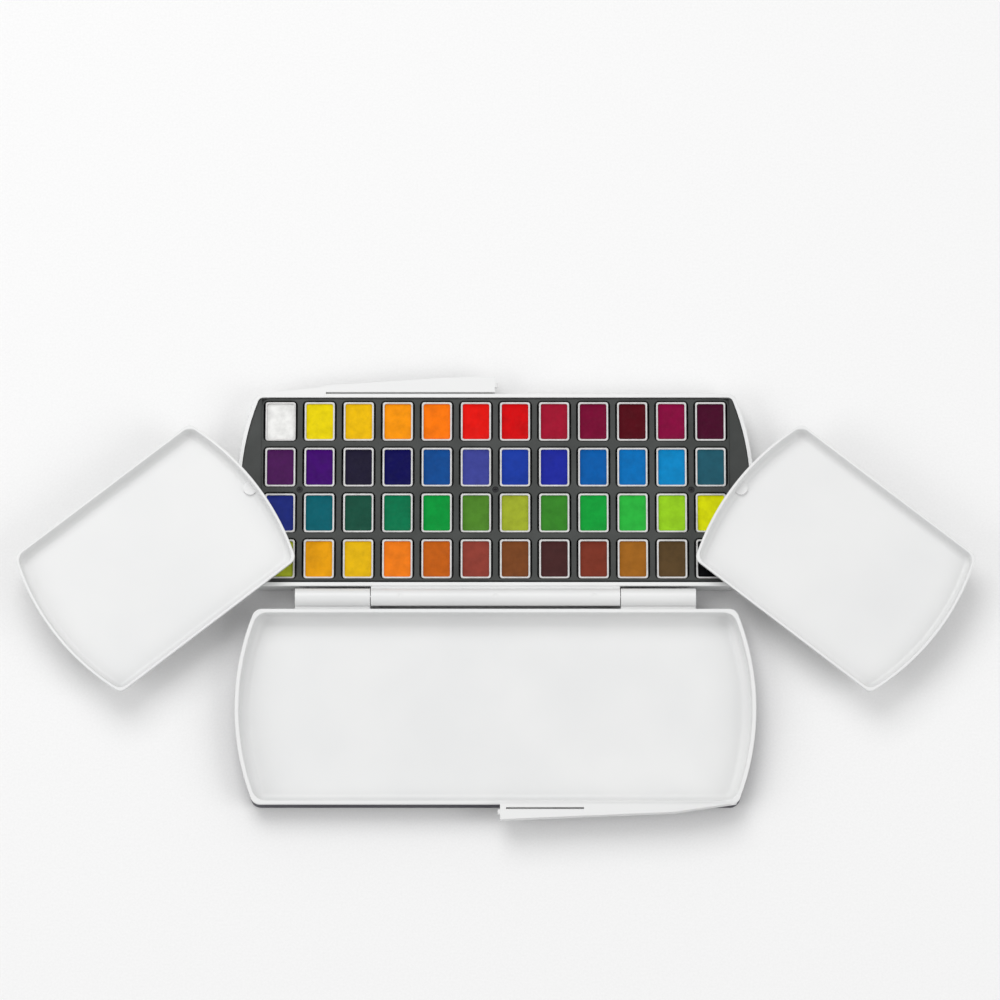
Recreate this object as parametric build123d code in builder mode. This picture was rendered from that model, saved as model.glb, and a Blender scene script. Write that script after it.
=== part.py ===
# Watercolor pan set: a folding case with 48 half pans and two swing-out mixing wings.
#
# Millimetres. The case lies open on a table at z = 0. +X runs along the case, +Y points to the latch
# side of the base and +Z is up. The origin is the middle of the underside of the base. The lid is
# turned right back about the hinge and lies on the -Y side with its white inside up. The wings are
# swung out over the ends of the base.
from build123d import *
import os
from math import atan, cos, degrees, radians, sin

TOLERANCE = 0.001

# Case: the outline of base and lid is a circle cut by two straight sides
CASE_RADIUS = 131.5
CASE_DEPTH = 100.0
CASE_CORNER = 5.0
WALL = 2.0
FLOOR = 1.6
BOTTOM_ROUND = 3.0
RIM_ROUND = 0.5

# Hinge, and the parting plane that it lies in
HINGE_HEIGHT = 14.5
HINGE_OFFSET = 5.8
HINGE_Y = -CASE_DEPTH / 2 - HINGE_OFFSET
PARTING_GAP = 0.3
RIM_HEIGHT = HINGE_HEIGHT - PARTING_GAP / 2
BARREL_RADIUS = 4.4
PIN_RADIUS = 1.25
BORE_RADIUS = 1.3
PIN_LENGTH = 200.0
KNUCKLE_START = 63.4
KNUCKLE_END = 101.3
CENTRE_KNUCKLE_HALF = 63.0
BORE_END = 100.4
WEB_THICKNESS = 2.6
GATE_MARKS = (-48.0, 0.0, 50.0)
GATE_MARK_RADIUS = 1.1
GATE_MARK_DEPTH = 0.3

# Latch: a springy tongue on the base and one on the lid meet end to end beside the middle
TONGUE_BOTTOM = 9.4
TONGUE_TIP_X = -0.3
SNAP_Y = CASE_DEPTH / 2 + 4.5
SNAP_LENGTH = 2.4
BASE_SNAP_RADIUS = 1.5
BASE_SNAP_HEIGHT = 12.8
LID_TONGUE_TIP_X = 2.3
LID_TONGUE_TOP = 19.5
LID_TONGUE_CLEARANCE = 0.4
LID_SNAP_RADIUS = 1.2
LID_SNAP_HEIGHT = 18.0
LID_SLOT_START = 5.3
LID_SLOT_END = 44.4
LID_SLOT_WIDTH = 1.0
LID_SLOT_OFFSET = 2.7

# Lid: a navy cover outside and a white liner inside
LID_Y = 2 * HINGE_Y
COVER_SKIN = 1.2
COVER_WALL = 1.0
COVER_TOP = 13.0
COVER_INNER_ROUND = 2.0
PANEL_LINE_INSET = 4.2
PANEL_LINE_WIDTH = 0.5
PANEL_LINE_DEPTH = 0.25
SKIN_GAP = 0.05
LINER_FLOOR = 2.4
LINER_WALL = 2.1
LINER_CORNER = 7.0
LINER_ROUND = 5.0
KNUCKLE_CORE_RADIUS = 3.45
KNUCKLE_INLAY_DEPTH = 0.35
KNUCKLE_INLAY_WIDTH = 3.0
KNUCKLE_INLAY_LENGTH = 28.0

# Pan tray
TRAY_INSET = 2.3
TRAY_CORNER = 2.7
TRAY_BOTTOM = 1.7
TRAY_SKIRT = 1.2
SHELF_TOP = 13.4
SHELF_SKIN = 1.5
CHANNEL_TOP = 12.0
GRID_TOP = 14.0
GRID_LENGTH = 238.0
GRID_DEPTH = 94.4
GRID_CORNER = 4.0
GRID_ROUND = 0.3
COLUMNS = 12
ROWS = 4
COLUMN_PITCH = 19.9
ROW_PITCH = 23.8
POCKET_WIDTH = 17.3
POCKET_DEPTH = 21.2
POCKET_CORNER = 2.5
POCKET_FLOOR = 3.0
PRY_NOTCH_X = 8.0
PRY_NOTCH_WIDTH = 3.0

# Tray screws, at the crossings of the ribs
SCREW_X = (-5 * COLUMN_PITCH, 0.0, 5 * COLUMN_PITCH)
SCREW_HEAD_RADIUS = 1.45
SCREW_HEAD_BOTTOM = 12.3
SCREW_HEAD_TOP = 13.5
SCREW_SHANK_RADIUS = 0.9
SCREW_TIP = 2.6
SCREW_SLOT_WIDTH = 0.4
SCREW_SLOT_DEPTH = 0.6
HEAD_HOLE_RADIUS = 1.6
SHANK_HOLE_RADIUS = 1.05
BOSS_RADIUS = 2.0
BOSS_TOP = 5.5
BOSS_SOCKET_RADIUS = 2.15
BOSS_SOCKET_TOP = 5.7

# Half pans: a moulded cup with a cake of paint in it
PAN_WIDTH = 15.4
PAN_DEPTH = 20.2
PAN_CORNER = 1.3
PAN_HEIGHT = 10.2
PAN_LIP = 0.9
PAN_LIP_HEIGHT = 1.4
PAN_STEP = 0.3
PAN_FLOOR = 1.0
PAN_TAPER = 2.0
PAN_RIM_ROUND = 0.25
CAKE_CLEARANCE = 0.05
CAKE_BELOW_RIM = 1.5

# Mixing wings: shallow dishes that fold side by side over the pans
PIVOT_X = 124.5
WING_DROOP = 38.0
WING_SWEEP_RADIUS = 124.0
WING_END_RADIUS = 128.0
WING_DEPTH = 89.2
WING_CORNER = 3.0
WING_INNER_CORNER = 4.5
WING_BOTTOM = 14.8
WING_HEIGHT = 8.6
WING_SKIN = 1.4
WING_DRAFT = 1.2
WING_INNER_ROUND = 3.0
WING_BOTTOM_ROUND = 0.8
WING_RIM_ROUND = 0.4
WING_BOSS_RADIUS = 3.4
WING_BOSS_TOP = 17.9
SOCKET_WIDTH = 3.0
SOCKET_TOP = 17.1

# Wing pivots: a round journal turns in the tray and a square peg drives the wing
PIVOT_BOSS_RADIUS = 4.2
JOURNAL_RADIUS = 2.4
JOURNAL_BORE_RADIUS = 2.45
JOURNAL_FOOT = 5.4
JOURNAL_BORE_FOOT = 5.0
FLANGE_RADIUS = 3.8
FLANGE_BOTTOM = 13.45
FLANGE_TOP = 14.7
PEG_WIDTH = 2.8
PEG_TOP = 16.9

# Paints, row by row from the latch side, each row from left to right
PAINTS = (
    ("titanium_white", "lemon_yellow", "primary_yellow", "golden_yellow", "bright_orange", "vermilion",
     "scarlet", "crimson", "wine_red", "dark_madder", "magenta", "plum"),
    ("red_violet", "violet", "payne_blue", "midnight_blue", "phthalo_blue", "lavender_blue",
     "cobalt_blue", "ultramarine", "cerulean", "azure", "sky_blue", "slate_teal"),
    ("indigo", "deep_teal", "forest_green", "viridian", "emerald", "sap_green",
     "moss_green", "hooker_green", "bright_green", "leaf_green", "lime_green", "acid_yellow"),
    ("olive_yellow", "gamboge", "indian_gold", "warm_orange", "copper_orange", "red_brown",
     "umber", "dark_maroon", "burnt_sienna", "ochre_brown", "sepia", "lamp_black"),
)


def case_outline(inset, corner):
    """The outline of the case moved in by inset, with its own corner radius."""
    with BuildSketch() as outline:
        Circle(CASE_RADIUS - inset)
        Rectangle(2 * CASE_RADIUS, CASE_DEPTH - 2 * inset, mode=Mode.INTERSECT)
        fillet(outline.vertices(), corner)
    return outline.sketch


def wing_outline(inset, corner):
    """The outline of a wing moved in by inset, about its pivot and with +X along the wing."""
    with BuildSketch() as outline:
        Circle(WING_SWEEP_RADIUS - inset)
        with Locations((PIVOT_X, 0)):
            Circle(WING_END_RADIUS - inset, mode=Mode.INTERSECT)
        Rectangle(3 * WING_SWEEP_RADIUS, WING_DEPTH - 2 * inset, mode=Mode.INTERSECT)
        fillet(outline.vertices(), corner)
    return outline.sketch


def lid_plane(height):
    """The level plane at a height, centred on the open lid."""
    return Plane((0, LID_Y, height))


def wing_plane(side, height):
    """The level plane at a height, centred on a wing's pivot, its x axis along the drooping wing."""
    along = (side * cos(radians(WING_DROOP)), -sin(radians(WING_DROOP)), 0)
    return Plane((side * PIVOT_X, 0, height), x_dir=along, z_dir=(0, 0, 1))


def edges_at(part, height):
    """The edges of the level faces at a height."""
    low, high = height - TOLERANCE, height + TOLERANCE
    return part.faces().filter_by(Axis.Z).filter_by_position(Axis.Z, low, high).edges()


os.makedirs("parts", exist_ok=True)

# ---------------------------------------------------------------- base shell
with BuildPart() as base_shell:
    with BuildSketch():
        add(case_outline(0, CASE_CORNER))
    extrude(amount=RIM_HEIGHT)
    fillet(edges_at(base_shell, 0), BOTTOM_ROUND)
    fillet(edges_at(base_shell, RIM_HEIGHT), RIM_ROUND)
    with BuildSketch(Plane.XY.offset(FLOOR)):
        add(case_outline(WALL, CASE_CORNER - WALL))
    extrude(amount=RIM_HEIGHT, mode=Mode.SUBTRACT)

    # Bosses that take the tray screws
    with BuildSketch(Plane.XY.offset(FLOOR / 2)):
        with Locations([(x, 0) for x in SCREW_X]):
            Circle(BOSS_RADIUS)
    extrude(amount=BOSS_TOP - FLOOR / 2)
    with BuildSketch(Plane.XY.offset(SCREW_TIP - 0.2)):
        with Locations([(x, 0) for x in SCREW_X]):
            Circle(SCREW_SHANK_RADIUS)
    extrude(amount=BOSS_TOP, mode=Mode.SUBTRACT)

    # Centre knuckle of the hinge, and the web that joins it to the wall
    with BuildSketch(Plane.YZ.offset(-CENTRE_KNUCKLE_HALF)):
        with Locations((HINGE_Y, HINGE_HEIGHT)):
            Circle(BARREL_RADIUS)
        with Locations((HINGE_Y, RIM_HEIGHT - RIM_ROUND)):
            Rectangle(HINGE_OFFSET + WALL / 2, WEB_THICKNESS, align=(Align.MIN, Align.MAX))
        with Locations((HINGE_Y, HINGE_HEIGHT)):
            Circle(BORE_RADIUS, mode=Mode.SUBTRACT)
    extrude(amount=2 * CENTRE_KNUCKLE_HALF)
    with Locations([(x, HINGE_Y, HINGE_HEIGHT + BARREL_RADIUS) for x in GATE_MARKS]):
        Cylinder(GATE_MARK_RADIUS, 2 * GATE_MARK_DEPTH, mode=Mode.SUBTRACT)

    # Latch tongue: an arm that leaves the wall near its far end and springs at its tip
    with BuildSketch(Plane.XY.offset(TONGUE_BOTTOM)):
        with BuildLine():
            Polyline(
                (-119.5, 49.0), (-119.5, 50.0), (-88.4, 53.4), (-87.6, 54.1), (-25.6, 58.3),
                (TONGUE_TIP_X, 58.8), (TONGUE_TIP_X, 50.8), (-86.5, 50.8), (-86.5, 49.0), close=True,
            )
        make_face()
    extrude(amount=RIM_HEIGHT - TONGUE_BOTTOM)
    with BuildSketch(Plane.XZ.offset(-SNAP_Y - SNAP_LENGTH / 2)):
        with Locations((TONGUE_TIP_X, BASE_SNAP_HEIGHT)):
            Circle(BASE_SNAP_RADIUS)
    extrude(amount=SNAP_LENGTH)

base_shell.part.label = "base_shell"
export_step(base_shell.part, "parts/base_shell.step")

# ---------------------------------------------------------------- pan tray
with BuildPart() as pan_tray:
    with BuildSketch(Plane.XY.offset(TRAY_BOTTOM)):
        add(case_outline(TRAY_INSET, TRAY_CORNER))
    extrude(amount=SHELF_TOP - TRAY_BOTTOM)

    # The end shelves are hollow underneath, round the bosses of the wing pivots
    with BuildSketch(Plane.XY.offset(TRAY_BOTTOM)):
        add(case_outline(TRAY_INSET + TRAY_SKIRT, TRAY_CORNER - TRAY_SKIRT))
        Rectangle(GRID_LENGTH, CASE_DEPTH, mode=Mode.SUBTRACT)
        with Locations((-PIVOT_X, 0), (PIVOT_X, 0)):
            Circle(PIVOT_BOSS_RADIUS, mode=Mode.SUBTRACT)
    extrude(amount=SHELF_TOP - SHELF_SKIN - TRAY_BOTTOM, mode=Mode.SUBTRACT)
    with BuildSketch(Plane.XY.offset(JOURNAL_BORE_FOOT)):
        with Locations((-PIVOT_X, 0), (PIVOT_X, 0)):
            Circle(JOURNAL_BORE_RADIUS)
    extrude(amount=GRID_TOP, mode=Mode.SUBTRACT)

    # A lower channel runs along both long sides
    with BuildSketch(Plane.XY.offset(CHANNEL_TOP)):
        Rectangle(GRID_LENGTH, CASE_DEPTH)
        Rectangle(GRID_LENGTH, GRID_DEPTH - 2 * GRID_CORNER, mode=Mode.SUBTRACT)
    extrude(amount=GRID_TOP, mode=Mode.SUBTRACT)

    # Raised grid with a pocket for each pan
    with BuildSketch(Plane.XY.offset(TRAY_BOTTOM)):
        RectangleRounded(GRID_LENGTH, GRID_DEPTH, GRID_CORNER)
    extrude(amount=GRID_TOP - TRAY_BOTTOM)
    with BuildSketch(Plane.XY.offset(POCKET_FLOOR)):
        with GridLocations(COLUMN_PITCH, ROW_PITCH, COLUMNS, ROWS):
            RectangleRounded(POCKET_WIDTH, POCKET_DEPTH, POCKET_CORNER)
    extrude(amount=GRID_TOP, mode=Mode.SUBTRACT)
    fillet(edges_at(pan_tray, GRID_TOP), GRID_ROUND)

    # Stepped holes for the screws, and a notch to pry the tray out by
    for radius, low, high in (
        (BOSS_SOCKET_RADIUS, TRAY_BOTTOM, BOSS_SOCKET_TOP),
        (SHANK_HOLE_RADIUS, TRAY_BOTTOM, GRID_TOP),
        (HEAD_HOLE_RADIUS, SCREW_HEAD_BOTTOM, GRID_TOP),
    ):
        with BuildSketch(Plane.XY.offset(low)):
            with Locations([(x, 0) for x in SCREW_X]):
                Circle(radius)
        extrude(amount=high - low, mode=Mode.SUBTRACT)
    with Locations((PRY_NOTCH_X, CASE_DEPTH / 2 - TRAY_INSET, CHANNEL_TOP)):
        Box(PRY_NOTCH_WIDTH, 1.0, 3.0, mode=Mode.SUBTRACT)

pan_tray.part.label = "pan_tray"
export_step(pan_tray.part, "parts/pan_tray.step")

# ---------------------------------------------------------------- tray screws
with BuildPart() as tray_screws:
    with BuildSketch(Plane.XY.offset(SCREW_TIP)):
        with Locations([(x, 0) for x in SCREW_X]):
            Circle(SCREW_SHANK_RADIUS)
    extrude(amount=SCREW_HEAD_BOTTOM - SCREW_TIP)
    with BuildSketch(Plane.XY.offset(SCREW_HEAD_BOTTOM)):
        with Locations([(x, 0) for x in SCREW_X]):
            Circle(SCREW_HEAD_RADIUS)
    extrude(amount=SCREW_HEAD_TOP - SCREW_HEAD_BOTTOM)
    with BuildSketch(Plane.XY.offset(SCREW_HEAD_TOP)):
        with Locations([(x, 0) for x in SCREW_X]):
            Rectangle(SCREW_HEAD_RADIUS, SCREW_SLOT_WIDTH)
            Rectangle(SCREW_SLOT_WIDTH, SCREW_HEAD_RADIUS)
    extrude(amount=-SCREW_SLOT_DEPTH, mode=Mode.SUBTRACT)

tray_screws.part.label = "tray_screws"
export_step(tray_screws.part, "parts/tray_screws.step")

# ---------------------------------------------------------------- half pans
for row, paints in enumerate(PAINTS):
    for column, paint in enumerate(paints):
        pan_x = (column - (COLUMNS - 1) / 2) * COLUMN_PITCH
        pan_y = ((ROWS - 1) / 2 - row) * ROW_PITCH
        pan_top = POCKET_FLOOR + PAN_HEIGHT
        with BuildPart() as pan:
            with BuildSketch(Plane((pan_x, pan_y, pan_top - PAN_LIP_HEIGHT))):
                RectangleRounded(PAN_WIDTH - 2 * PAN_STEP, PAN_DEPTH - 2 * PAN_STEP, PAN_CORNER)
            extrude(amount=PAN_LIP_HEIGHT - PAN_HEIGHT, taper=PAN_TAPER)
            with BuildSketch(Plane((pan_x, pan_y, pan_top - PAN_LIP_HEIGHT))):
                RectangleRounded(PAN_WIDTH, PAN_DEPTH, PAN_CORNER)
            extrude(amount=PAN_LIP_HEIGHT)
            with BuildSketch(Plane((pan_x, pan_y, pan_top))):
                RectangleRounded(PAN_WIDTH - 2 * PAN_LIP, PAN_DEPTH - 2 * PAN_LIP, PAN_CORNER - PAN_STEP)
            extrude(amount=PAN_FLOOR - PAN_HEIGHT, taper=PAN_TAPER, mode=Mode.SUBTRACT)
            fillet(edges_at(pan, pan_top), PAN_RIM_ROUND)

            # The cake of paint is a second solid, just clear of the cup
            cake_inset = PAN_LIP + 2 * CAKE_CLEARANCE
            with BuildSketch(Plane((pan_x, pan_y, pan_top - CAKE_BELOW_RIM))):
                RectangleRounded(
                    PAN_WIDTH - 2 * cake_inset, PAN_DEPTH - 2 * cake_inset, PAN_CORNER - PAN_STEP
                )
            cake_height = PAN_HEIGHT - CAKE_BELOW_RIM - PAN_FLOOR - CAKE_CLEARANCE
            extrude(amount=-cake_height, taper=PAN_TAPER)

        number = row * COLUMNS + column + 1
        node = f"pan_{number:02d}_{paint}"
        pan.part.label = node
        export_step(pan.part, f"parts/{node}.step")

# ---------------------------------------------------------------- hinge pin
with BuildPart() as hinge_pin:
    with BuildSketch(Plane.YZ.offset(-PIN_LENGTH / 2)):
        with Locations((HINGE_Y, HINGE_HEIGHT)):
            Circle(PIN_RADIUS)
    extrude(amount=PIN_LENGTH)
    chamfer(hinge_pin.edges().filter_by(GeomType.CIRCLE), PIN_RADIUS / 4)

hinge_pin.part.label = "hinge_pin"
export_step(hinge_pin.part, "parts/hinge_pin.step")

# ---------------------------------------------------------------- lid cover
with BuildPart() as lid_cover:
    with BuildSketch(lid_plane(0)):
        add(case_outline(0, CASE_CORNER))
    extrude(amount=COVER_TOP)
    fillet(edges_at(lid_cover, 0), BOTTOM_ROUND)
    with BuildSketch(lid_plane(COVER_SKIN)):
        add(case_outline(COVER_WALL, CASE_CORNER - COVER_WALL))
    extrude(amount=COVER_TOP, mode=Mode.SUBTRACT)
    fillet(edges_at(lid_cover, COVER_SKIN), COVER_INNER_ROUND)

    # A fine line round the flat panel
    with BuildSketch(lid_plane(0)):
        add(case_outline(PANEL_LINE_INSET, CASE_CORNER))
        add(case_outline(PANEL_LINE_INSET + PANEL_LINE_WIDTH, CASE_CORNER), mode=Mode.SUBTRACT)
    extrude(amount=PANEL_LINE_DEPTH, mode=Mode.SUBTRACT)

    # Half sleeves round the outside of the two side knuckles
    for start in (-KNUCKLE_END, KNUCKLE_START):
        with BuildSketch(Plane.YZ.offset(start)):
            with Locations((HINGE_Y, HINGE_HEIGHT)):
                Circle(BARREL_RADIUS)
            with Locations((HINGE_Y, COVER_TOP)):
                Rectangle(HINGE_OFFSET + COVER_WALL / 2, WEB_THICKNESS / 2, align=(Align.MAX, Align.MAX))
            with Locations((HINGE_Y, HINGE_HEIGHT)):
                Circle(KNUCKLE_CORE_RADIUS + SKIN_GAP, mode=Mode.SUBTRACT)
                Rectangle(
                    2 * BARREL_RADIUS, BARREL_RADIUS, align=(Align.CENTER, Align.MIN), mode=Mode.SUBTRACT
                )
            with Locations((HINGE_Y, COVER_TOP)):
                Rectangle(
                    2 * BARREL_RADIUS, BARREL_RADIUS, align=(Align.MAX, Align.MIN), mode=Mode.SUBTRACT
                )
        extrude(amount=KNUCKLE_END - KNUCKLE_START)
    inlay_x = (KNUCKLE_START + KNUCKLE_END) / 2
    with Locations((-inlay_x, HINGE_Y, HINGE_HEIGHT - BARREL_RADIUS)):
        Box(KNUCKLE_INLAY_LENGTH, KNUCKLE_INLAY_WIDTH, 2 * KNUCKLE_INLAY_DEPTH, mode=Mode.SUBTRACT)

lid_cover.part.label = "lid_cover"
export_step(lid_cover.part, "parts/lid_cover.step")

# ---------------------------------------------------------------- lid liner
with BuildPart() as lid_liner:
    with BuildSketch(lid_plane(COVER_SKIN)):
        add(case_outline(COVER_WALL + SKIN_GAP, CASE_CORNER - COVER_WALL - SKIN_GAP))
    extrude(amount=COVER_TOP - COVER_SKIN)
    fillet(edges_at(lid_liner, COVER_SKIN), COVER_INNER_ROUND)
    with BuildSketch(lid_plane(COVER_TOP)):
        add(case_outline(0, CASE_CORNER))
    extrude(amount=RIM_HEIGHT - COVER_TOP)
    with BuildSketch(lid_plane(LINER_FLOOR)):
        add(case_outline(LINER_WALL, LINER_CORNER))
    extrude(amount=RIM_HEIGHT, mode=Mode.SUBTRACT)
    fillet(edges_at(lid_liner, LINER_FLOOR), LINER_ROUND)
    fillet(edges_at(lid_liner, RIM_HEIGHT), RIM_ROUND)

    # Side knuckles: a round core, full size on the side that faces up when the lid is open
    for start, bore_start in ((-KNUCKLE_END, -BORE_END), (KNUCKLE_START, KNUCKLE_START)):
        with BuildSketch(Plane.YZ.offset(start)):
            with Locations((HINGE_Y, HINGE_HEIGHT)):
                Circle(BARREL_RADIUS)
                Rectangle(
                    2 * BARREL_RADIUS, BARREL_RADIUS, align=(Align.CENTER, Align.MAX), mode=Mode.SUBTRACT
                )
                Circle(KNUCKLE_CORE_RADIUS)
            with Locations((HINGE_Y, COVER_TOP)):
                Rectangle(
                    HINGE_OFFSET + WALL / 2, RIM_HEIGHT - COVER_TOP - RIM_ROUND,
                    align=(Align.MAX, Align.MIN),
                )
        extrude(amount=KNUCKLE_END - KNUCKLE_START)
        with BuildSketch(Plane.YZ.offset(bore_start)):
            with Locations((HINGE_Y, HINGE_HEIGHT)):
                Circle(BORE_RADIUS)
        extrude(amount=BORE_END - KNUCKLE_START, mode=Mode.SUBTRACT)

    # Latch tongue, with a slot that lets its end spring
    with BuildSketch(lid_plane(COVER_TOP)):
        with BuildLine():
            Polyline(
                (LID_TONGUE_TIP_X, -49.2), (LID_TONGUE_TIP_X, -58.3), (90.0, -54.6), (121.0, -50.0),
                (121.0, -49.2), close=True,
            )
        make_face()
        with Locations((LID_SLOT_START, -CASE_DEPTH / 2 - LID_SLOT_OFFSET)):
            Rectangle(
                LID_SLOT_END - LID_SLOT_START, LID_SLOT_WIDTH, align=(Align.MIN, Align.CENTER),
                mode=Mode.SUBTRACT,
            )
    extrude(amount=LID_TONGUE_TOP - COVER_TOP)

    # Past the rim the tongue stands clear of the case, so that it laps over the wall of the base
    with BuildSketch(lid_plane(RIM_HEIGHT)):
        add(case_outline(-LID_TONGUE_CLEARANCE, CASE_CORNER))
    extrude(amount=LID_TONGUE_TOP, mode=Mode.SUBTRACT)
    with BuildSketch(Plane.XZ.offset(SNAP_Y - LID_Y - SNAP_LENGTH / 2)):
        with Locations((LID_TONGUE_TIP_X, LID_SNAP_HEIGHT)):
            Circle(LID_SNAP_RADIUS)
    extrude(amount=SNAP_LENGTH)

lid_liner.part.label = "lid_liner"
export_step(lid_liner.part, "parts/lid_liner.step")

# ---------------------------------------------------------------- mixing wings and their pivots
WING_TAPER = degrees(atan(WING_DRAFT / WING_HEIGHT))
WING_TOP = WING_BOTTOM + WING_HEIGHT
INNER_INSET = WING_DRAFT * (1 - WING_SKIN / WING_HEIGHT) + WING_SKIN

for side, name in ((-1, "left"), (1, "right")):
    with BuildPart() as wing:
        with BuildSketch(wing_plane(side, WING_BOTTOM)):
            add(wing_outline(WING_DRAFT, WING_CORNER))
        extrude(amount=WING_HEIGHT, taper=-WING_TAPER)
        fillet(edges_at(wing, WING_BOTTOM), WING_BOTTOM_ROUND)
        with BuildSketch(wing_plane(side, WING_BOTTOM + WING_SKIN)):
            add(wing_outline(INNER_INSET, WING_INNER_CORNER))
        extrude(amount=WING_HEIGHT, taper=-WING_TAPER, mode=Mode.SUBTRACT)
        fillet(edges_at(wing, WING_BOTTOM + WING_SKIN), WING_INNER_ROUND)
        fillet(edges_at(wing, WING_TOP), WING_RIM_ROUND)

        # Boss over the pivot, with a square socket from below
        with BuildSketch(wing_plane(side, WING_BOTTOM + WING_SKIN / 2)):
            add(wing_outline(WING_DRAFT, WING_CORNER))
            Circle(WING_BOSS_RADIUS, mode=Mode.INTERSECT)
        extrude(amount=WING_BOSS_TOP - WING_BOTTOM - WING_SKIN / 2)
        with BuildSketch(wing_plane(side, WING_BOTTOM)):
            Rectangle(SOCKET_WIDTH, SOCKET_WIDTH)
        extrude(amount=SOCKET_TOP - WING_BOTTOM, mode=Mode.SUBTRACT)

    wing.part.label = f"wing_{name}"
    export_step(wing.part, f"parts/wing_{name}.step")

    with BuildPart() as wing_pivot:
        with BuildSketch(wing_plane(side, JOURNAL_FOOT)):
            Circle(JOURNAL_RADIUS)
        extrude(amount=FLANGE_BOTTOM - JOURNAL_FOOT)
        with BuildSketch(wing_plane(side, FLANGE_BOTTOM)):
            Circle(FLANGE_RADIUS)
        extrude(amount=FLANGE_TOP - FLANGE_BOTTOM)
        with BuildSketch(wing_plane(side, FLANGE_TOP)):
            Rectangle(PEG_WIDTH, PEG_WIDTH)
        extrude(amount=PEG_TOP - FLANGE_TOP)

    wing_pivot.part.label = f"wing_pivot_{name}"
    export_step(wing_pivot.part, f"parts/wing_pivot_{name}.step")
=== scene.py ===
import math

import bmesh
import bpy
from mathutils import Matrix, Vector, noise


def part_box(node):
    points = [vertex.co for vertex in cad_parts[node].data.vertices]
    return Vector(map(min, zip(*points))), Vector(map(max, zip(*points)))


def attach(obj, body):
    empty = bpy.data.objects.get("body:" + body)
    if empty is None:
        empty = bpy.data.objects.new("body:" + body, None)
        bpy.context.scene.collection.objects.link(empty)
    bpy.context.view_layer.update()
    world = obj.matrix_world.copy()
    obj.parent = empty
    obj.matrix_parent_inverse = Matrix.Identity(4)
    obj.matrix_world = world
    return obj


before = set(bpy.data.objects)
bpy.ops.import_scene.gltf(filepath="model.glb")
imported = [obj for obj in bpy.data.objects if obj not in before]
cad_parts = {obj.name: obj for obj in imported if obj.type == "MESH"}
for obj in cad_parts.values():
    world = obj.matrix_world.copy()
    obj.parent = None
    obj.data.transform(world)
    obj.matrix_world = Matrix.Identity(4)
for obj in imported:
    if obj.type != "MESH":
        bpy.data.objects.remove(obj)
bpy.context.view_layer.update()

MM = 0.001

# The view: almost straight down, from the lid's side, with a long lens
VIEW_ELEVATION = 78.0
VIEW_DISTANCE = 2.822
LENS = 200.0
AIM = Vector((2.3, -5.2, 13.0)) * MM

# Paint: display colours from 0 to 255, one for each pan
PAINT_COLOURS = {
    "titanium_white": (238, 238, 236), "lemon_yellow": (235, 212, 0), "primary_yellow": (237, 187, 5),
    "golden_yellow": (250, 150, 0), "bright_orange": (252, 120, 0), "vermilion": (228, 22, 14),
    "scarlet": (208, 0, 14), "crimson": (160, 22, 50), "wine_red": (118, 0, 52),
    "dark_madder": (84, 0, 24), "magenta": (132, 0, 62), "plum": (72, 0, 42),
    "red_violet": (76, 28, 86), "violet": (66, 0, 108), "payne_blue": (34, 30, 52),
    "midnight_blue": (14, 10, 82), "phthalo_blue": (20, 76, 145), "lavender_blue": (64, 70, 150),
    "cobalt_blue": (30, 60, 160), "ultramarine": (34, 44, 155), "cerulean": (0, 92, 168),
    "azure": (0, 110, 182), "sky_blue": (8, 132, 194), "slate_teal": (38, 90, 106),
    "indigo": (36, 48, 128), "deep_teal": (0, 95, 106), "forest_green": (28, 80, 64),
    "viridian": (8, 116, 76), "emerald": (0, 148, 60), "sap_green": (80, 132, 44),
    "moss_green": (158, 172, 48), "hooker_green": (58, 132, 44), "bright_green": (22, 158, 60),
    "leaf_green": (46, 178, 64), "lime_green": (150, 206, 36), "acid_yellow": (226, 230, 0),
    "olive_yellow": (196, 208, 60), "gamboge": (234, 160, 14), "indian_gold": (228, 180, 18),
    "warm_orange": (240, 124, 28), "copper_orange": (192, 94, 24), "red_brown": (142, 64, 54),
    "umber": (120, 70, 38), "dark_maroon": (72, 42, 42), "burnt_sienna": (122, 54, 40),
    "ochre_brown": (158, 100, 34), "sepia": (90, 70, 44), "lamp_black": (16, 16, 18),
}

# Skin of paint on each cake, in millimetres
SKIN_HALF_WIDTH = 6.74
SKIN_HALF_DEPTH = 9.14
SKIN_CORNER = 0.95
SKIN_RINGS = 14
SKIN_PER_CORNER = 6
SKIN_PER_SIDE = 14
SKIN_BELOW_RIM = 1.48
SKIN_THICKNESS = 0.22
MENISCUS_HEIGHT = 0.5
MENISCUS_POWER = 14.0
SKIN_RIPPLE = 0.07
SKIN_TILT = 0.05
RIPPLE_SCALE = 0.22
RING_CROWDING = 1.5

# Drop printed in foil on the lid, in millimetres: half widths and half heights, and shifts along Y
DROPLET_POINTS = 64
DROPLET_TAPER = 1.5
LINE_OUTSIDE = (7.0, 9.0)
LINE_INSIDE = (6.1, 7.9)
LINE_INSIDE_SHIFT = -0.3
FILLED_DROP = (3.0, 3.9)
FILLED_DROP_SHIFT = -2.4
FOIL_THICKNESS = 0.03
TRAY_TO_EDGE = 2.3

# Studio: each light's place in metres, its size in metres and its power in watts
LIGHTS = {
    "key_light": ((-0.4, 0.95, 1.75), 1.3, 17),
    "fill_light": ((1.5, -0.6, 1.3), 1.2, 10),
    "side_light": ((-1.6, -0.5, 1.3), 1.2, 9),
}
WORLD_STRENGTH = 0.52
FLOOR_SIZE = 8.0
FLOOR_DROP = 0.0002


# ---------------------------------------------------------------- material helpers
def linear(colour):
    """A display colour from 0 to 255 as a linear colour."""
    return tuple((c / 255) ** 2.2 for c in colour)


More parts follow.
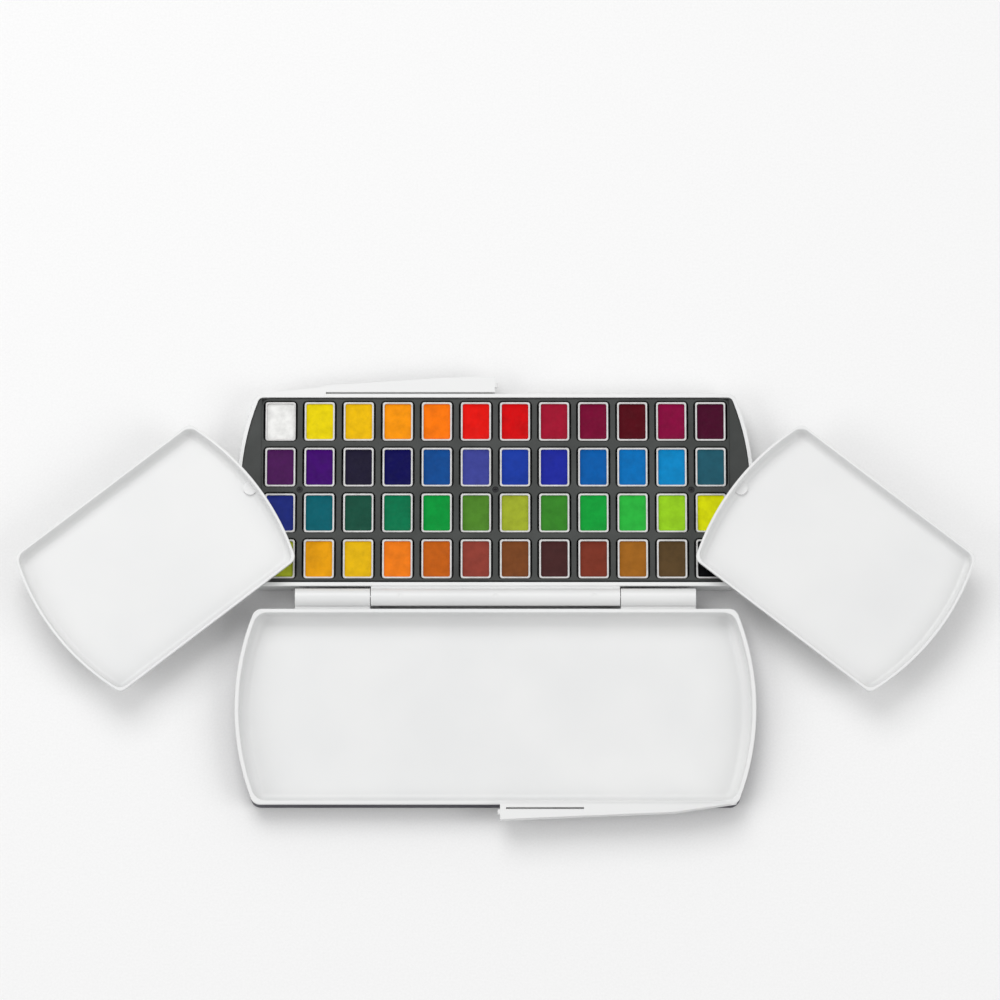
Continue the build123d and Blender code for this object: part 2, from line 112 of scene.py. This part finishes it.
def new_material(name):
    """A node material and its Principled shader."""
    material = bpy.data.materials.new(name)
    material.use_nodes = True
    return material, material.node_tree.nodes["Principled BSDF"]


def object_noise(tree, scale, detail=3.0, roughness=0.55, seed=0.0):
    """Noise in object coordinates, which are metres in the frame."""
    coordinates = tree.nodes.new("ShaderNodeTexCoord")
    mapping = tree.nodes.new("ShaderNodeMapping")
    mapping.inputs["Location"].default_value = (seed, 0.37 * seed, 0.71 * seed)
    texture = tree.nodes.new("ShaderNodeTexNoise")
    texture.inputs["Scale"].default_value = scale
    texture.inputs["Detail"].default_value = detail
    texture.inputs["Roughness"].default_value = roughness
    tree.links.new(coordinates.outputs["Object"], mapping.inputs["Vector"])
    tree.links.new(mapping.outputs["Vector"], texture.inputs["Vector"])
    return texture


def vary_colour(tree, shader, texture, low, high, spread=(0.35, 0.65)):
    """Base colour that drifts from low to high with the texture."""
    ramp = tree.nodes.new("ShaderNodeValToRGB")
    ramp.color_ramp.elements[0].position = spread[0]
    ramp.color_ramp.elements[1].position = spread[1]
    ramp.color_ramp.elements[0].color = (*low, 1)
    ramp.color_ramp.elements[1].color = (*high, 1)
    tree.links.new(texture.outputs["Fac"], ramp.inputs["Fac"])
    tree.links.new(ramp.outputs["Color"], shader.inputs["Base Color"])


def vary_roughness(tree, shader, texture, low, high):
    """Roughness that drifts from low to high with the texture."""
    spread = tree.nodes.new("ShaderNodeMapRange")
    spread.inputs["From Min"].default_value = 0.3
    spread.inputs["From Max"].default_value = 0.7
    spread.inputs["To Min"].default_value = low
    spread.inputs["To Max"].default_value = high
    tree.links.new(texture.outputs["Fac"], spread.inputs["Value"])
    tree.links.new(spread.outputs["Result"], shader.inputs["Roughness"])


def add_bump(tree, shader, layers):
    """Stacked bumps, each a (texture, strength, height in metres)."""
    normal = None
    for texture, strength, height in layers:
        bump = tree.nodes.new("ShaderNodeBump")
        bump.inputs["Strength"].default_value = strength
        bump.inputs["Distance"].default_value = height
        tree.links.new(texture.outputs["Fac"], bump.inputs["Height"])
        if normal:
            tree.links.new(normal, bump.inputs["Normal"])
        normal = bump.outputs["Normal"]
    tree.links.new(normal, shader.inputs["Normal"])


# ---------------------------------------------------------------- materials
def white_plastic():
    """Satin white moulded plastic, with faint flow marks and a soft orange peel."""
    material, shader = new_material("white_plastic")
    tree = material.node_tree
    flow = object_noise(tree, 18, 2)
    peel = object_noise(tree, 420, 2)
    fine = object_noise(tree, 2600, 3)
    vary_colour(tree, shader, flow, (0.745, 0.75, 0.75), (0.775, 0.778, 0.775))
    vary_roughness(tree, shader, flow, 0.34, 0.42)
    shader.inputs["Coat Weight"].default_value = 0.06
    shader.inputs["Coat Roughness"].default_value = 0.2
    add_bump(tree, shader, [(peel, 0.12, 0.00006), (fine, 0.10, 0.00002)])
    return material


def cup_plastic():
    """White polystyrene of the pan cups, a little softer than the case; its colour is greyed well below
    white as painted shade on the rims, with a random stain tone.
    """
    material, shader = new_material("cup_plastic")
    tree = material.node_tree
    stain = object_noise(tree, 260, 4)
    fine = object_noise(tree, 3000, 2)
    # Painted shade: the cup colour is held at 0.56 to 0.68 rather than white, standing for the shade on
    # the rims; the noise adds stain tone.
    vary_colour(tree, shader, stain, (0.56, 0.555, 0.55), (0.68, 0.675, 0.67))
    vary_roughness(tree, shader, stain, 0.3, 0.42)
    shader.inputs["Subsurface Weight"].default_value = 0.12
    shader.inputs["Subsurface Radius"].default_value = (0.0012, 0.0012, 0.0012)
    shader.inputs["Subsurface Scale"].default_value = 0.6
    add_bump(tree, shader, [(fine, 0.12, 0.00002)])
    return material


def tray_plastic():
    """Dark grey plastic with a fine spark-eroded texture."""
    material, shader = new_material("tray_plastic")
    tree = material.node_tree
    cloud = object_noise(tree, 40, 3)
    grain = object_noise(tree, 1500, 4, 0.7)
    pits = object_noise(tree, 4200, 2, 0.6, 3.0)
    vary_colour(tree, shader, cloud, (0.034, 0.037, 0.035), (0.050, 0.054, 0.052))
    vary_roughness(tree, shader, grain, 0.40, 0.56)
    shader.inputs["Specular IOR Level"].default_value = 0.3
    add_bump(tree, shader, [(grain, 0.32, 0.00006), (pits, 0.2, 0.00002)])
    return material


def navy_plastic():
    """Satin navy with a metallic flake under a thin clear coat."""
    material, shader = new_material("navy_plastic")
    tree = material.node_tree
    flake = object_noise(tree, 5200, 1, 0.4)
    cloud = object_noise(tree, 14, 2)
    peel = object_noise(tree, 380, 2)
    vary_colour(tree, shader, flake, (0.004, 0.0035, 0.013), (0.012, 0.010, 0.034))
    vary_roughness(tree, shader, cloud, 0.46, 0.52)
    shader.inputs["Metallic"].default_value = 0.5
    shader.inputs["Coat Weight"].default_value = 0.04
    shader.inputs["Specular IOR Level"].default_value = 0.25
    shader.inputs["Coat Roughness"].default_value = 0.3
    add_bump(tree, shader, [(peel, 0.1, 0.00005), (flake, 0.08, 0.00001)])
    return material


def steel():
    """Drawn steel with a fine uneven grain."""
    material, shader = new_material("steel")
    tree = material.node_tree
    grain = object_noise(tree, 900, 3)
    grain.inputs["Distortion"].default_value = 0.2
    vary_colour(tree, shader, grain, (0.42, 0.42, 0.43), (0.60, 0.60, 0.61))
    vary_roughness(tree, shader, grain, 0.22, 0.38)
    shader.inputs["Metallic"].default_value = 1.0
    add_bump(tree, shader, [(grain, 0.15, 0.00002)])
    return material


def screw_steel_painted_shade():
    """Near-black steel of the small tray screws: the dark colour is painted shade of the holes they sit
    in.
    """
    material, shader = new_material("screw_steel_painted_shade")
    tree = material.node_tree
    wear = object_noise(tree, 1200, 3)
    # Painted shade: the screw colour is kept near black to stand for the shade inside the screw holes.
    vary_colour(tree, shader, wear, (0.012, 0.012, 0.013), (0.030, 0.030, 0.032))
    vary_roughness(tree, shader, wear, 0.45, 0.6)
    shader.inputs["Metallic"].default_value = 0.6
    add_bump(tree, shader, [(wear, 0.15, 0.00002)])
    return material


def pivot_plastic():
    """Acetal of the wing pivots: off-white, slightly waxy."""
    material, shader = new_material("pivot_plastic")
    tree = material.node_tree
    cloud = object_noise(tree, 300, 3)
    vary_colour(tree, shader, cloud, (0.60, 0.60, 0.57), (0.70, 0.70, 0.67))
    vary_roughness(tree, shader, cloud, 0.32, 0.45)
    add_bump(tree, shader, [(cloud, 0.15, 0.00003)])
    return material


def dried_paint(name, colour, seed):
    """A cake of dried watercolour: dense pigment, gum-rich darker patches and a fine grain."""
    material, shader = new_material(name)
    tree = material.node_tree
    patches = object_noise(tree, 190, 4, 0.6, seed)
    grain = object_noise(tree, 2400, 4, 0.7, seed)
    drag = object_noise(tree, 620, 3, 0.5, seed + 5)
    base = linear(colour)
    deep = tuple(c * 0.78 for c in base)
    light = tuple(c * 0.97 for c in base)
    vary_colour(tree, shader, patches, deep, light, (0.3, 0.62))
    vary_roughness(tree, shader, drag, 0.38, 0.6)
    shader.inputs["Specular IOR Level"].default_value = 0.08
    add_bump(tree, shader, [(drag, 0.25, 0.00012), (grain, 0.25, 0.00003)])
    return material


def gold_foil():
    """Dull gold of a hot-stamped print."""
    material, shader = new_material("gold_foil")
    tree = material.node_tree
    wear = object_noise(tree, 1400, 4)
    vary_colour(tree, shader, wear, (0.42, 0.27, 0.06), (0.62, 0.44, 0.13))
    vary_roughness(tree, shader, wear, 0.3, 0.5)
    shader.inputs["Metallic"].default_value = 1.0
    add_bump(tree, shader, [(wear, 0.2, 0.00001)])
    return material


def floor_paper():
    """Pale matt surface under the set."""
    material, shader = new_material("floor_paper")
    tree = material.node_tree
    fibre = object_noise(tree, 900, 4)
    vary_colour(tree, shader, fibre, (0.85, 0.85, 0.85), (0.88, 0.88, 0.88))
    shader.inputs["Roughness"].default_value = 0.9
    return material


# ---------------------------------------------------------------- meshes
def rounded_rectangle(half_width, half_depth, corner):
    """Points round a rectangle with round corners, anticlockwise, evenly spread along each side."""
    points = []
    for quarter in range(4):
        turn = math.pi / 2 * quarter
        sign_x = 1 if quarter in (0, 3) else -1
        sign_y = 1 if quarter in (0, 1) else -1
        centre = Vector((sign_x * (half_width - corner), sign_y * (half_depth - corner)))
        for step in range(SKIN_PER_CORNER + 1):
            angle = turn + math.pi / 2 * step / SKIN_PER_CORNER
            points.append(centre + Vector((math.cos(angle), math.sin(angle))) * corner)
        along_y = quarter % 2 == 1
        length = 2 * ((half_depth if along_y else half_width) - corner)
        heading = Vector((-math.sin(turn + math.pi / 2), math.cos(turn + math.pi / 2)))
        start = points[-1]
        for step in range(1, SKIN_PER_SIDE):
            points.append(start + heading * (length * step / SKIN_PER_SIDE))
    return points


def new_piece(name, mesh, material):
    """Turn a bmesh into an object with one material, and link it."""
    data = bpy.data.meshes.new(name)
    mesh.to_mesh(data)
    mesh.free()
    data.materials.append(material)
    piece = bpy.data.objects.new(name, data)
    bpy.context.scene.collection.objects.link(piece)
    return piece


def skin_height(x, y, ring, seed):
    """How far the paint stands above the flat cake: nearly flat in the middle, climbing at the wall."""
    climb = MENISCUS_HEIGHT * ring ** MENISCUS_POWER
    place = Vector((x * RIPPLE_SCALE, y * RIPPLE_SCALE, seed * 3.1))
    ripple = SKIN_RIPPLE * noise.noise(place) + 0.4 * SKIN_RIPPLE * noise.noise(place * 3.3)
    tilt_x = SKIN_TILT * math.sin(seed * 1.7) * x / SKIN_HALF_WIDTH
    tilt_y = SKIN_TILT * math.cos(seed * 2.3) * y / SKIN_HALF_DEPTH
    return SKIN_THICKNESS + climb + ripple + tilt_x + tilt_y


def paint_skin(name, centre, bottom, seed, material):
    """A closed skin of dried paint over a cake, with a meniscus where it meets the cup."""
    mesh = bmesh.new()
    outline = rounded_rectangle(SKIN_HALF_WIDTH, SKIN_HALF_DEPTH, SKIN_CORNER)

    def new_vert(x, y, height):
        return mesh.verts.new(Vector((centre.x + x, centre.y + y, bottom + height)) * MM)

    rings = []
    for index in range(SKIN_RINGS):
        ring = 1 - (index / SKIN_RINGS) ** RING_CROWDING
        spots = [(point.x * ring, point.y * ring) for point in outline]
        rings.append([new_vert(x, y, skin_height(x, y, ring, seed)) for x, y in spots])
    top = new_vert(0, 0, skin_height(0, 0, 0, seed))
    foot = [new_vert(point.x, point.y, 0) for point in outline]

    count = len(outline)
    for outer, inner in zip(rings, rings[1:]):
        for i in range(count):
            j = (i + 1) % count
            mesh.faces.new((outer[i], outer[j], inner[j], inner[i]))
    for i in range(count):
        j = (i + 1) % count
        mesh.faces.new((rings[-1][i], rings[-1][j], top))
        mesh.faces.new((foot[i], foot[j], rings[0][j], rings[0][i]))
    mesh.faces.new(list(reversed(foot)))
    for face in mesh.faces:
        face.smooth = len(face.verts) < 5
    return new_piece(name, mesh, material)


def droplet(half_width, half_height):
    """Points round a drop of water whose tip points to +Y."""
    points = []
    for step in range(DROPLET_POINTS):
        angle = math.tau * step / DROPLET_POINTS
        across = half_width * math.sin(angle) * math.sin(angle / 2) ** DROPLET_TAPER
        points.append(Vector((across, half_height * math.cos(angle))))
    return points


def droplet_print(name, centre, material):
    """A plain drop printed in foil on the outside of the lid: an outline and a smaller filled drop."""
    mesh = bmesh.new()

    def foil_edges(size, shift):
        """The drop's edge on the lid and on the foil's outside."""
        edges = []
        for level in (0.0, -FOIL_THICKNESS):
            spots = [Vector((centre.x + p.x, centre.y + p.y + shift, level)) for p in droplet(*size)]
            edges.append([mesh.verts.new(spot * MM) for spot in spots])
        return edges

    outer_top, outer_low = foil_edges(LINE_OUTSIDE, 0.0)
    inner_top, inner_low = foil_edges(LINE_INSIDE, LINE_INSIDE_SHIFT)
    top, low = foil_edges(FILLED_DROP, FILLED_DROP_SHIFT)
    mesh.faces.new(top)
    mesh.faces.new(list(reversed(low)))
    for i in range(DROPLET_POINTS):
        j = (i + 1) % DROPLET_POINTS
        mesh.faces.new((outer_low[i], outer_low[j], inner_low[j], inner_low[i]))
        mesh.faces.new((outer_top[j], outer_top[i], inner_top[i], inner_top[j]))
        mesh.faces.new((outer_top[i], outer_top[j], outer_low[j], outer_low[i]))
        mesh.faces.new((inner_top[j], inner_top[i], inner_low[i], inner_low[j]))
        mesh.faces.new((top[j], top[i], low[i], low[j]))
    bmesh.ops.recalc_face_normals(mesh, faces=mesh.faces)
    return new_piece(name, mesh, material)


# ---------------------------------------------------------------- the object
def set_material(node, material):
    """Give a CAD node one material."""
    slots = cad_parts[node].data.materials
    slots.clear()
    slots.append(material)


white = white_plastic()
metal = steel()
pivot = pivot_plastic()
for node, material in (
    ("base_shell", white), ("lid_liner", white), ("wing_left", white), ("wing_right", white),
    ("lid_cover", navy_plastic()), ("pan_tray", tray_plastic()), ("tray_screws", screw_steel_painted_shade()),
    ("hinge_pin", metal), ("wing_pivot_left", pivot), ("wing_pivot_right", pivot),
):
    set_material(node, material)

cup = cup_plastic()
pans = [node for node in sorted(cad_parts) if node.startswith("pan_") and node != "pan_tray"]
for node in pans:
    number, paint = int(node[4:6]), node[7:]
    set_material(node, cup)
    low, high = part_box(node)
    centre = (low + high) / 2 / MM
    bottom = high.z / MM - SKIN_BELOW_RIM
    material = dried_paint("paint_" + paint, PAINT_COLOURS[paint], float(number))
    skin = paint_skin(f"paint_skin_{number:02d}", centre, bottom, float(number), material)
    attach(skin, "base")

tray_low, tray_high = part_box("pan_tray")
cover_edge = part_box("lid_cover")[0].y
panel_centre = Vector((0, cover_edge + (tray_high.y - tray_low.y) / 2 + TRAY_TO_EDGE * MM, 0))
emblem = droplet_print("lid_print", panel_centre / MM, gold_foil())
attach(emblem, "lid")

# ---------------------------------------------------------------- floor, light and camera
bpy.ops.mesh.primitive_plane_add(size=FLOOR_SIZE, location=(0, 0, -FLOOR_DROP))
floor = bpy.context.object
floor.name = "floor"
floor.data.materials.append(floor_paper())


def area_light(name, place, size, power):
    """A square soft light aimed at the object."""
    data = bpy.data.lights.new(name, "AREA")
    data.size = size
    data.energy = power
    light = bpy.data.objects.new(name, data)
    light.location = place
    light.rotation_euler = (AIM - Vector(place)).to_track_quat("-Z", "Y").to_euler()
    bpy.context.scene.collection.objects.link(light)


for name, (place, size, power) in LIGHTS.items():
    area_light(name, place, size, power)

world = bpy.data.worlds.new("studio")
world.use_nodes = True
world.node_tree.nodes["Background"].inputs["Color"].default_value = (1, 1, 1, 1)
world.node_tree.nodes["Background"].inputs["Strength"].default_value = WORLD_STRENGTH
bpy.context.scene.world = world
bpy.context.scene.view_settings.view_transform = "Standard"

elevation = math.radians(VIEW_ELEVATION)
camera_data = bpy.data.cameras.new("camera")
camera_data.lens = LENS
camera = bpy.data.objects.new("camera", camera_data)
back = Vector((0, -math.cos(elevation), math.sin(elevation)))
camera.location = AIM + back * VIEW_DISTANCE
camera.rotation_euler = (-back).to_track_quat("-Z", "Y").to_euler()
bpy.context.scene.collection.objects.link(camera)
bpy.context.scene.camera = camera
